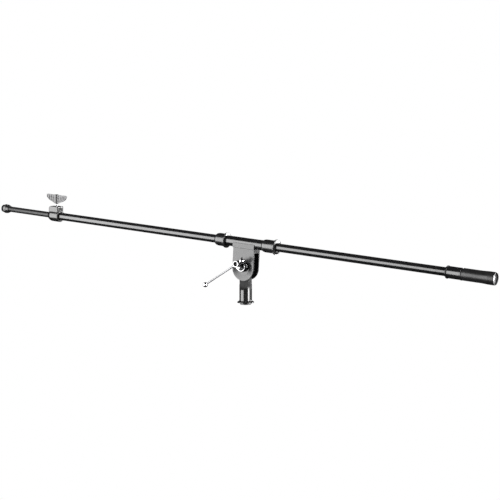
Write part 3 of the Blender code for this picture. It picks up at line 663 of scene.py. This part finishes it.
def dish_form(outline, side):
    """A shallow pan whose wall slopes in from the outline to the floor."""
    data = bmesh.new()
    rings = []
    for depth, inset in ((2 * CHEEK_OUT, 0.0), (CHEEK_OUT, 0.0), (CHEEK_OUT - DISH_DEPTH, DISH_SLOPE)):
        scale = 1 - inset / DISH_R
        y = side * depth * MM
        level = [(x * scale, CHEEK_ROUND_Z + (z - CHEEK_ROUND_Z) * scale) for x, z in outline]
        rings.append([data.verts.new((x * MM, y, z * MM)) for x, z in level])
    data.faces.new(rings[0])
    data.faces.new(list(reversed(rings[-1])))
    for near, far in zip(rings, rings[1:]):
        for i in range(len(outline)):
            j = (i + 1) % len(outline)
            data.faces.new([near[j], near[i], far[i], far[j]])
    return finish_mesh("dish_form", data, PIVOT_FRAME)


def rivet():
    """Pin through both cheeks, set back in its holes."""
    end = CHEEK_OUT - RIVET_SET_BACK
    head, neck = RIVET_R - 0.6, end - 0.9
    profile = rounded(
        [(0, -end), (head, -end, 0.6), (RIVET_R, -neck), (RIVET_R, neck), (head, end, 0.6), (0, end)]
    )
    return turned("rivet", profile, AT_RIVET, ALONG_Y, SOFT)


def bushing_nose(left):
    """The rounded left end that both bushings have, over the sleeve."""
    return [
        (SLEEVE_R + 2 * GAP, left, 0.4),
        (BUSHING_R - 0.9, left + 1.4, 1.2),
        (BUSHING_R, left + 4.8, 2.4),
    ]


def left_bushing():
    seat, bore, left, right = SLEEVE_R + GAP, 8.3, -70.4, -45.5
    stop = SLEEVE_LEFT - GAP
    profile = [
        *bushing_nose(left),
        (BUSHING_R, right - 4.1, 0.3),
        (FLANGE_R, right - 3.5, 0.5),
        (FLANGE_R, right - 0.9, 0.7),
        (FLANGE_R - 0.9, right - 0.6, 0.5),
        (seat, right, 0.2),
        (seat, stop),
        (bore, stop),
        (bore, left + 0.6),
        (bore + 0.4, left),
    ]
    return turned("left_bushing_fine", rounded(profile, SHAPE_STEPS), BOOM_FRAME)


def right_bushing():
    seat, bore, left, right = SLEEVE_R + GAP, 8.3, 39.9, 70.7
    stop = SLEEVE_RIGHT + GAP
    profile = [
        *bushing_nose(left),
        (BUSHING_R, right - 4.3, 0.3),
        (FLANGE_R, right - 3.7, 0.5),
        (FLANGE_R, right - 0.8, 0.7),
        (FLANGE_R - 0.9, right - 1.1, 0.5),
        (bore + 0.6, right, 0.4),
        (bore, right - 1.1),
        (bore, stop),
        (seat, stop),
        (seat, left + 0.3),
    ]
    return turned("right_bushing_fine", rounded(profile, SHAPE_STEPS), BOOM_FRAME)


def nut():
    start = CHEEK_OUT + GAP + REAR_WASHER_THICK + GAP
    end = start + NUT_THICK
    hexagon = arc(0, 0, NUT_R, 0, 300, 5)
    body = plate("nut", hexagon, start, end, PIVOT_FRAME)
    wide, narrow = NUT_R + 0.1, NUT_R - 0.6
    low, high = start + NUT_CHAMFER, end - NUT_CHAMFER
    chamfer = [(0, start), (narrow, start), (wide, low), (wide, high), (narrow, end), (0, end)]
    combine(body, turned("chamfer_form", chamfer, PIVOT_FRAME, ALONG_Y), "INTERSECT")
    bore = rod(HOLE_R, start - 2, end + 2)
    return soften(cut(body, turned("bore_form", bore, PIVOT_FRAME, ALONG_Y, SOFT)), 0.2)


def bracket_pieces():
    place_piece(bracket(), "bracket", "grey_paint", BRACKET_PAINT, "clamp_bracket")
    place_piece(rivet(), "bracket", "black_paint", TUBE_PAINT, "cheek_rivet")
    sleeve = turned("sleeve", ring(SLEEVE_BORE, SLEEVE_R, SLEEVE_LEFT, SLEEVE_RIGHT, 0.4), BOOM_FRAME)
    place_piece(sleeve, "bracket", "grey_paint", TUBE_PAINT, "sleeve_tube")
    place_piece(left_bushing(), "bracket", "black_plastic", BLACK_PLASTIC, "left_bushing")
    place_piece(right_bushing(), "bracket", "black_plastic", BLACK_PLASTIC, "right_bushing")
    starts = {"left_liner": SLEEVE_LEFT + GAP, "right_liner": SLEEVE_RIGHT - GAP - LINER_LENGTH}
    for name, low in starts.items():
        profile = ring(8.3, SLEEVE_BORE - GAP / 2, low, low + LINER_LENGTH, 0.15)
        liner = turned(name + "_fine", profile, BOOM_FRAME)
        place_piece(liner, "bracket", "nylon", NYLON, name)
    seat = CHEEK_OUT + GAP
    profile = ring(HOLE_R, REAR_WASHER_R, seat, seat + REAR_WASHER_THICK, 0.4)
    washer = turned("rear_washer_fine", profile, PIVOT_FRAME, ALONG_Y)
    place_piece(washer, "bracket", "zinc_steel", ZINC, "rear_washer")
    place_piece(nut(), "bracket", "zinc_steel", ZINC, "rear_nut")


# Clamp screw and T-bar

WASHER_R = 11.0
WASHER_THICK = 2.6
SHANK_R = 4.0
SHANK_END = 20.9
SCREW_FLANGE_R = 9.9
SCREW_FLANGE_OUT = 17.6
SCREW_DISH_BOTTOM = 14.2
NECK_R = 4.2
HEAD_R = 6.7
HEAD_HALF = 5.6  # half the depth of the head along its axis
HEAD_SLOT_HALF = (1.6, 3.3)
BAR_R = 1.6
BAR_LOW = -88.6
BAR_HIGH = 12.6
BAR_IN_KNOB = 2.2
KNOB_R = 4.9


def clamp_screw():
    """Plain shank, dished flange and the offset eye that carries the T-bar."""
    flange_in = -(CHEEK_OUT + 2 * GAP + WASHER_THICK)
    shank = [(SHANK_R, CHEEK_OUT + 10.0), (SHANK_R, CHEEK_OUT + 1.0)]
    tip = rounded([(0, SHANK_END), (SHANK_R - 0.8, SHANK_END, 0.3), (SHANK_R, SHANK_END - 0.6)])
    flange = rounded(
        [
            (SHANK_R, flange_in),
            (SCREW_FLANGE_R, flange_in, 0.5),
            (SCREW_FLANGE_R, -SCREW_FLANGE_OUT, 1.2),
            (SCREW_FLANGE_R - 2.0, 0.2 - SCREW_FLANGE_OUT, 0.6),
            (NECK_R, -SCREW_DISH_BOTTOM, 0.4),
            (NECK_R, EYE[1]),
            (0, EYE[1]),
        ],
        SHAPE_STEPS,
    )
    body = turned("clamp_screw_fine", tip + shank + flange, PIVOT_FRAME, ALONG_Y)
    unite(body, turned("head_form", screw_head(), AT_EYE, ALONG_Y))
    half, tall = HEAD_SLOT_HALF
    corners = [(-half, -tall, half), (half, -tall, half), (half, tall, half), (-half, tall, half)]
    slot = [(EYE[0] + x, EYE[2] + z) for x, z in rounded(corners, SHAPE_STEPS)]
    cut(body, plate("slot_form", slot, EYE[1] - 9.0, EYE[1] + 2.4, PIVOT_FRAME))
    cut(body, turned("eye_hole_form", rod(BAR_R + GAP, -26.0, 26.0), ROD_FRAME, ALONG_X, SOFT))
    return body


def screw_head():
    """Profile of the round head, with a dished face."""
    face = -HEAD_HALF
    return rounded(
        [
            (0, face + 2.0),
            (1.6, face + 2.0, 0.3),
            (4.7, face + 0.2, 0.5),
            (HEAD_R, face, 1.2),
            (HEAD_R, HEAD_HALF, 1.0),
            (0, HEAD_HALF),
        ],
        SHAPE_STEPS,
    )


def t_bar_knob(centre, inward):
    """Ball with a small flat outside and a blind hole for the rod. inward is the way to the rod's middle."""
    angles = [radians(t) for t in range(12, 160, 4)]
    ball = [(KNOB_R * sin(t), -inward * KNOB_R * cos(t)) for t in angles]
    flat = inward * KNOB_R * cos(radians(12))
    mouth = inward * KNOB_R * cos(radians(20))
    hole, floor = BAR_R + GAP / 2, -inward * 2.6
    profile = [(0, -flat), *ball, (hole, mouth), (hole, floor), (0, floor)]
    return turned("t_bar_knob", [(r, centre + x) for r, x in profile], ROD_FRAME, ALONG_X, SOFT)


def clamp_pieces():
    seat = -(CHEEK_OUT + GAP)
    face = seat - WASHER_THICK
    edge = seat - 1.5
    profile = [(HOLE_R, seat), (WASHER_R, seat, 0.4), (WASHER_R, edge, 0.6), (8.6, face, 0.8), (HOLE_R, face)]
    washer = turned("front_washer_fine", rounded(profile, SHAPE_STEPS), PIVOT_FRAME, ALONG_Y)
    place_piece(washer, "washer", "chrome", DARK_PLATING, "front_washer")
    place_piece(clamp_screw(), "clamp_screw", "chrome", DARK_PLATING, "clamp_screw")
    profile = rod(BAR_R, BAR_LOW - BAR_IN_KNOB, BAR_HIGH + BAR_IN_KNOB, 0.3)
    bar = turned("t_bar", profile, ROD_FRAME, ALONG_X, SOFT)
    place_piece(bar, "t_bar", "chrome", DULL_PLATING, "t_bar_rod")
    place_piece(t_bar_knob(BAR_LOW, 1), "t_bar", "chrome", CHROME, "t_bar_knob_lower")
    place_piece(t_bar_knob(BAR_HIGH, -1), "t_bar", "chrome", CHROME, "t_bar_knob_upper")


# Boom tubes, collar and wing screw

OUTER_R = 8.0
OUTER_BORE = 6.9
OUTER_LEFT = -506.0
OUTER_RIGHT = 450.0
INNER_R = 6.0
INNER_BORE = 5.0
INNER_LEFT = -641.0
INNER_RIGHT = -26.0
COLLAR_LEFT = -515.0
COLLAR_RIGHT = -485.5
COLLAR_R = 12.2
BOSS_LEFT = -512.5
BOSS_RIGHT = -486.5
BOSS_TOP = 21.0
BOSS_HALF = 9.4
COLLAR_SLOT_BOTTOM = 17.4
COLLAR_SLOT_HALF = 1.1
SCREW_HOLE_R = 3.1


def outer_tube():
    tube = turned("outer_tube_fine", ring(OUTER_BORE, OUTER_R, OUTER_LEFT, OUTER_RIGHT, 0.4), BOOM_FRAME)
    return cut(tube, turned("hole_form", rod(SCREW_HOLE_R, 0.0, 2 * OUTER_R), WING_FRAME, UPRIGHT, SOFT))


def collar():
    """Ring with the raised block for the wing screw, split along the block's counterweight side."""
    bore, lip = OUTER_R + GAP, COLLAR_LEFT + 0.8
    profile = rounded(
        [
            (8.4, COLLAR_LEFT, 0.2),
            (10.4, COLLAR_LEFT + 2.8, 2.0),
            (COLLAR_R, COLLAR_LEFT + 7.5, 2.4),
            (COLLAR_R, COLLAR_RIGHT, 0.8),
            (bore, COLLAR_RIGHT),
            (bore, lip),
            (8.1, COLLAR_LEFT),
        ],
        SHAPE_STEPS,
    )
    body = turned("collar", profile, BOOM_FRAME)
    low, high = OUTER_R, BOSS_TOP
    block = [(BOSS_LEFT, low), (BOSS_RIGHT, low), (BOSS_RIGHT, high, 2.4), (BOSS_LEFT, high, 9.0)]
    unite(body, plate("boss_form", rounded(block, 10), -BOSS_HALF, BOSS_HALF, BOOM_FRAME, 2.2))
    beyond = COLLAR_RIGHT + 2
    cut(body, turned("bore_form", rod(bore, lip, beyond), BOOM_FRAME))
    cut(body, turned("screw_form", rod(SCREW_HOLE_R, 0.0, 30.0), WING_FRAME, UPRIGHT, SOFT))
    low, high = COLLAR_SLOT_BOTTOM, BOSS_TOP + 3.0
    slot = [(WING_X, low), (beyond, low), (beyond, high), (WING_X, high)]
    cut(body, plate("slot_form", slot, -COLLAR_SLOT_HALF, COLLAR_SLOT_HALF, BOOM_FRAME))
    return soften(body, 0.35)


WING_SIDE = (
    (27.6, 45.0, 0.8),
    (27.9, 43.2, 0.8),
    (26.4, 37.9, 4.0),
    (20.8, 33.3, 4.0),
    (7.8, 28.6, 3.0),
    (1.8, 26.0),
)
WING_CELLS = ((5.2, 9.4), (10.6, 14.8), (16.0, 20.2), (21.4, 25.6))
WING_HALF = 1.7  # half the rim's thickness
WING_SKIN = 0.7  # half the thickness between the ribs
WING_RIM = 1.5
CELL_TOP = 43.4
HUB_BOTTOM = 24.6
HUB_TOP = 46.0
HUB_R = 3.6
SHAFT_R = 2.7
SHAFT_TOP = 42.0
PAD_BOTTOM = 6.3
PAD_TOP = 11.0
WING_PITCH = 0.8


def wing_edge(x):
    """Height of a wing's lower edge at that distance from the hub."""
    points = [(a, z) for a, z, *_ in reversed(WING_SIDE)]
    for (near, low), (far, high) in zip(points, points[1:]):
        if near <= x <= far:
            return low + (high - low) * (x - near) / (far - near)
    return points[-1][1]


def wings():
    """Two thin wings with a raised rim and upright ribs on both faces."""
    outline = rounded([*WING_SIDE, *[(-x, *rest) for x, *rest in reversed(WING_SIDE)]], SHAPE_STEPS)
    body = plate("wings", outline, -WING_HALF, WING_HALF, WING_FRAME)
    for near, far in WING_CELLS:
        for mirror in (-1, 1):
            cell = [
                (mirror * near, wing_edge(near) + WING_RIM, 0.5),
                (mirror * far, wing_edge(far) + WING_RIM, 0.5),
                (mirror * far, CELL_TOP, 0.5),
                (mirror * near, CELL_TOP, 0.5),
            ]
            for low, high in ((-3.0, -WING_SKIN), (WING_SKIN, 3.0)):
                cut(body, plate("cell_form", rounded(cell, 3), low, high, WING_FRAME))
    return soften(body, 0.2, 2)


def wing_hub():
    low, high = HUB_BOTTOM, HUB_TOP
    profile = [(0, low), (HUB_R - 2.0, low, 0.4), (HUB_R, low + 2.6, 1.2), (HUB_R, high, 0.8), (0, high)]
    return turned("wing_hub", rounded(profile, SHAPE_STEPS), WING_FRAME, UPRIGHT, SOFT)


def wing_shaft():
    low, high = 12.0, 24.0
    bottom = PAD_TOP + GAP
    rows = [(SHAFT_R, z) for z in heights(low, high, WING_PITCH / THREAD_STEPS)]
    start = rounded([(0, bottom), (SHAFT_R - 0.3, bottom, 0.2), (SHAFT_R, bottom + 0.4)])
    end = rounded([(SHAFT_R, SHAFT_TOP, 0.3), (0, SHAFT_TOP)])
    thread = threaded(0.4, WING_PITCH, low, high)
    return turned("wing_shaft_fine", start + rows + end, WING_FRAME, UPRIGHT, SOFT, thread)


WEIGHT_LEFT = 427.0
WEIGHT_STEP = 458.0
WEIGHT_R = 10.9
WEIGHT_RIM_R = 11.9
WEIGHT_LIP_R = 11.4
WEIGHT_STUD_R = 4.0
WEIGHT_STUD_END = 482.0
STUD_PLUG_R = 6.6
STUD_PLUG_LENGTH = 18.0


def weight_collar():
    """Sleeve over the tube's end, with a front rim and a raised lip at the counterweight."""
    bore, left, right = OUTER_R + GAP, WEIGHT_LEFT, WEIGHT_STEP - GAP
    hole, wall = WEIGHT_STUD_R + GAP, OUTER_RIGHT + GAP
    profile = rounded(
        [
            (bore, left),
            (WEIGHT_R - 0.4, left, 0.5),
            (WEIGHT_RIM_R, left + 1.5, 0.8),
            (WEIGHT_RIM_R, left + 2.6, 0.8),
            (WEIGHT_R, left + 3.6, 0.8),
            (WEIGHT_R, right - 2.8, 0.4),
            (WEIGHT_LIP_R, right - 2.0, 0.5),
            (WEIGHT_LIP_R, right, 0.5),
            (hole, right),
            (hole, wall),
            (bore, wall),
        ],
        SHAPE_STEPS,
    )
    return turned("weight_collar_fine", profile, BOOM_FRAME)


def weight_stud():
    """Plug in the tube's end with the stud that carries the counterweight."""
    plug, stud = STUD_PLUG_R, WEIGHT_STUD_R
    low, step, end = OUTER_RIGHT - STUD_PLUG_LENGTH, OUTER_RIGHT, WEIGHT_STUD_END
    profile = [(0, low), (plug, low, 0.4), (plug, step), (stud, step), (stud, end, 0.6), (0, end)]
    return turned("weight_stud_fine", rounded(profile), BOOM_FRAME)


def boom_pieces():
    place_piece(outer_tube(), "boom", "black_paint", TUBE_PAINT, "outer_tube")
    place_piece(collar(), "boom", "black_cast", CAST_PAINT, "clamp_collar")
    left = COLLAR_LEFT + 1.2
    bush = turned("bush", ring(INNER_R + GAP, 7.7, left, left + 7.4), BOOM_FRAME)
    place_piece(bush, "boom", "nylon", NYLON, "collar_bush")
    place_piece(weight_collar(), "boom", "black_paint", TUBE_PAINT, "weight_collar")
    place_piece(weight_stud(), "boom", "zinc_steel", ZINC, "weight_stud")
    pad = turned("pad", rod(SHAFT_R, PAD_BOTTOM, PAD_TOP, 0.4), WING_FRAME, UPRIGHT, SOFT)
    place_piece(pad, "brake_pad", "nylon", NYLON, "brake_pad")
    place_piece(wing_shaft(), "wing_screw", "zinc_steel", ZINC, "wing_shaft")
    place_piece(wings(), "wing_screw", "grey_plastic", GREY_PLASTIC, "wing_head")
    place_piece(wing_hub(), "wing_screw", "black_plastic", BLACK_PLASTIC)


# Microphone end

STUD_TIP = -657.0
STUD_R = 7.95
STUD_BASE_R = 9.0
STUD_BASE_LEFT = -641.6
STUD_BASE_RIGHT = -635.4
LOCK_RING_LEFT = -648.6
LOCK_RING_RIGHT = -642.0
LOCK_RING_R = 9.7
FLUTES = 24
FLUTE_DEPTH = 0.22
PLUG_R = 6.55
PLUG_LENGTH = 18.0
SPIGOT_LENGTH = 12.0


def mic_stud():
    """Stud with the microphone-clip thread, and a tapered base over the inner tube's end."""
    low, high = STUD_TIP + 2.4, STUD_BASE_LEFT - 1.0
    rows = [(STUD_R, x) for x in heights(low, high, THREAD_PITCH / THREAD_STEPS)]
    tip = rounded([(0, STUD_TIP), (5.2, STUD_TIP, 0.3), (6.8, STUD_TIP + 1.0, 0.6), (7.6, STUD_TIP + 2.0)])
    socket, floor = INNER_R + GAP, INNER_LEFT - GAP
    base = rounded(
        [
            (STUD_R, STUD_BASE_LEFT),
            (STUD_BASE_R, STUD_BASE_LEFT, 0.5),
            (STUD_BASE_R, STUD_BASE_LEFT + 1.2, 1.0),
            (7.2, STUD_BASE_RIGHT, 0.5),
            (socket, STUD_BASE_RIGHT),
            (socket, floor),
            (0, floor),
        ],
        SHAPE_STEPS,
    )
    thread = threaded(0.5, THREAD_PITCH, low, high)
    return turned("mic_stud_fine", tip + rows + base, BOOM_FRAME, ALONG_X, FINE, thread)


def lock_ring():
    """Ring with shallow finger flutes round its rim."""
    bore, rim, left, right = STUD_R + GAP, LOCK_RING_R, LOCK_RING_LEFT, LOCK_RING_RIGHT

    def fluted(r, height, angle):
        return r - FLUTE_DEPTH * max(0.0, cos(FLUTES * angle)) if r > rim - 1.0 else r

    profile = [(bore, left, 0.3), (rim, left, 0.9), (rim, right, 0.9), (bore, right, 0.3)]
    profile = rounded(profile, SHAPE_STEPS)
    return turned("lock_ring_fine", profile, BOOM_FRAME, ALONG_X, 2 * FINE, fluted)


def guide_plug():
    """Plug in the inner tube's hidden end, which centres it in the outer tube."""
    spigot, plug = INNER_BORE - GAP, PLUG_R
    low, step = INNER_RIGHT - SPIGOT_LENGTH, INNER_RIGHT + GAP
    end = step + PLUG_LENGTH
    profile = [(0, low), (spigot, low, 0.4), (spigot, step), (plug, step), (plug, end, 0.8), (0, end)]
    return turned("plug", rounded(profile), BOOM_FRAME)


def mic_pieces():
    tube = turned("inner_tube_fine", ring(INNER_BORE, INNER_R, INNER_LEFT, INNER_RIGHT), BOOM_FRAME)
    place_piece(tube, "inner", "satin_black_tube", INNER_PAINT, "inner_tube")
    place_piece(guide_plug(), "inner", "nylon", NYLON, "guide_plug")
    place_piece(mic_stud(), "inner", "black_plastic", BLACK_PLASTIC, "mic_stud")
    place_piece(lock_ring(), "lock_ring", "black_plastic", BLACK_PLASTIC, "mic_lock_ring")


# Counterweight

WEIGHT_RIGHT = 520.0
GRIP_BORE = 10.2
GRIP_R = 11.1
GRIP_END_R = 11.7
CORE_R = 9.9
CORE_FACE = 516.5


def weight_grip():
    """Sleeve that swells a little towards its outer end."""
    left, right = WEIGHT_STEP + GAP, WEIGHT_RIGHT
    profile = rounded(
        [
            (GRIP_BORE, left, 0.3),
            (GRIP_R, left, 0.5),
            (GRIP_R, right - 24.0, 3.0),
            (GRIP_END_R, right - 12.0, 3.0),
            (GRIP_END_R, right, 0.6),
            (GRIP_BORE, right, 0.3),
        ],
        SHAPE_STEPS,
    )
    return turned("weight_grip_fine", profile, BOOM_FRAME)


def weight_core():
    """Steel slug with a blind hole for the stud. Its outer face is the bright disc."""
    hole, floor, left = WEIGHT_STUD_R + GAP, WEIGHT_STUD_END + 2.0, WEIGHT_STEP + 1.2
    rim, face = CORE_R, CORE_FACE
    profile = [(0, floor), (hole, floor), (hole, left), (rim, left), (rim, face, 0.5), (0, face)]
    return turned("weight_core_fine", rounded(profile), BOOM_FRAME)


def weight_pieces():
    place_piece(weight_grip(), "counterweight", "black_plastic", GRIP_PLASTIC, "weight_grip")
    place_piece(weight_core(), "counterweight", "zinc_steel", TURNED_STEEL, "weight_core")


# Studio

CAMERA_AT = (1.4217, -2.0692, 0.3702)
CAMERA_AZIMUTH = 34.3
CAMERA_ELEVATION = 6.0
CAMERA_LENS = 93.6
SUBJECT = Vector((0, 0, 0.12))
FLOOR_Z = -1.5
FLOOR_REACH = 14.0
WHITE = (1, 1, 1, 1)
SEEN = 1.0  # how bright the floor and the background look to the camera
LIT = 0.02  # how bright they are as light on the object


def camera():
    data = bpy.data.cameras.new("camera")
    data.lens = CAMERA_LENS
    data.sensor_width = 36
    data.clip_start = 0.01
    data.clip_end = 100
    made = bpy.data.objects.new("camera", data)
    bpy.context.collection.objects.link(made)
    made.location = CAMERA_AT
    made.rotation_euler = (radians(90 - CAMERA_ELEVATION), 0, radians(CAMERA_AZIMUTH))
    bpy.context.scene.camera = made


def softbox(name, azimuth, elevation, distance, width, height, radiance):
    """An area light round the subject, facing it. radiance is how bright it looks in a mirror."""
    data = bpy.data.lights.new(name, "AREA")
    data.shape = "RECTANGLE"
    data.size = width
    data.size_y = height
    data.energy = radiance * pi * width * height
    made = bpy.data.objects.new(name, data)
    bpy.context.collection.objects.link(made)
    a, e = radians(azimuth), radians(elevation)
    away = Vector((sin(a) * cos(e), -cos(a) * cos(e), sin(e)))
    made.location = SUBJECT + away * distance
    made.rotation_mode = "QUATERNION"
    made.rotation_quaternion = away.to_track_quat("Z", "Y")
    made.visible_camera = False


def seen_or_lit(tree, shader_type):
    """White, with one strength for what the camera sees and another for the light it gives."""
    path = tree.nodes.new("ShaderNodeLightPath")
    shown = tree.nodes.new(shader_type)
    shown.inputs["Color"].default_value = WHITE
    shown.inputs["Strength"].default_value = SEEN
    given = tree.nodes.new(shader_type)
    given.inputs["Color"].default_value = WHITE
    given.inputs["Strength"].default_value = LIT
    choice = tree.nodes.new("ShaderNodeMixShader")
    tree.links.new(path.outputs["Is Camera Ray"], choice.inputs["Fac"])
    tree.links.new(given.outputs[0], choice.inputs[1])
    tree.links.new(shown.outputs[0], choice.inputs[2])
    return choice.outputs[0]


def pale_floor():
    data = bmesh.new()
    reach = FLOOR_REACH
    corners = [(-reach, -reach), (reach, -reach), (reach, reach), (-reach, reach)]
    data.faces.new([data.verts.new((x, y, 0)) for x, y in corners])
    floor = finish_mesh("floor", data, Matrix.Translation((0, 0, FLOOR_Z)))
    pale = bpy.data.materials.new("pale_floor")
    pale.use_nodes = True
    tree = pale.node_tree
    tree.nodes.remove(tree.nodes["Principled BSDF"])
    surface = tree.nodes["Material Output"].inputs["Surface"]
    tree.links.new(seen_or_lit(tree, "ShaderNodeEmission"), surface)
    floor.data.materials.append(pale)
    return floor


def studio():
    world = bpy.data.worlds.new("studio")
    bpy.context.scene.world = world
    world.use_nodes = True
    tree = world.node_tree
    output = tree.nodes.get("World Output") or tree.nodes.new("ShaderNodeOutputWorld")
    tree.links.new(seen_or_lit(tree, "ShaderNodeBackground"), output.inputs["Surface"])
    pale_floor()

    softbox("left_softbox", -34.3, 4, 2.6, 2.8, 2.7, 10.5)
    softbox("right_strip", 93, 2, 2.4, 1.2, 2.4, 24.0)
    softbox("rear_card", 146, 4, 2.6, 0.9, 0.5, 60.0)
    softbox("rear_fill", 150, 40, 3.0, 1.8, 1.2, 3.0)
    softbox("end_card", 134, -9, 1.3, 0.3, 0.25, 2.2)
    bpy.context.scene.view_settings.view_transform = "Standard"


camera()
stand_pieces()
bracket_pieces()
clamp_pieces()
boom_pieces()
mic_pieces()
weight_pieces()
studio()
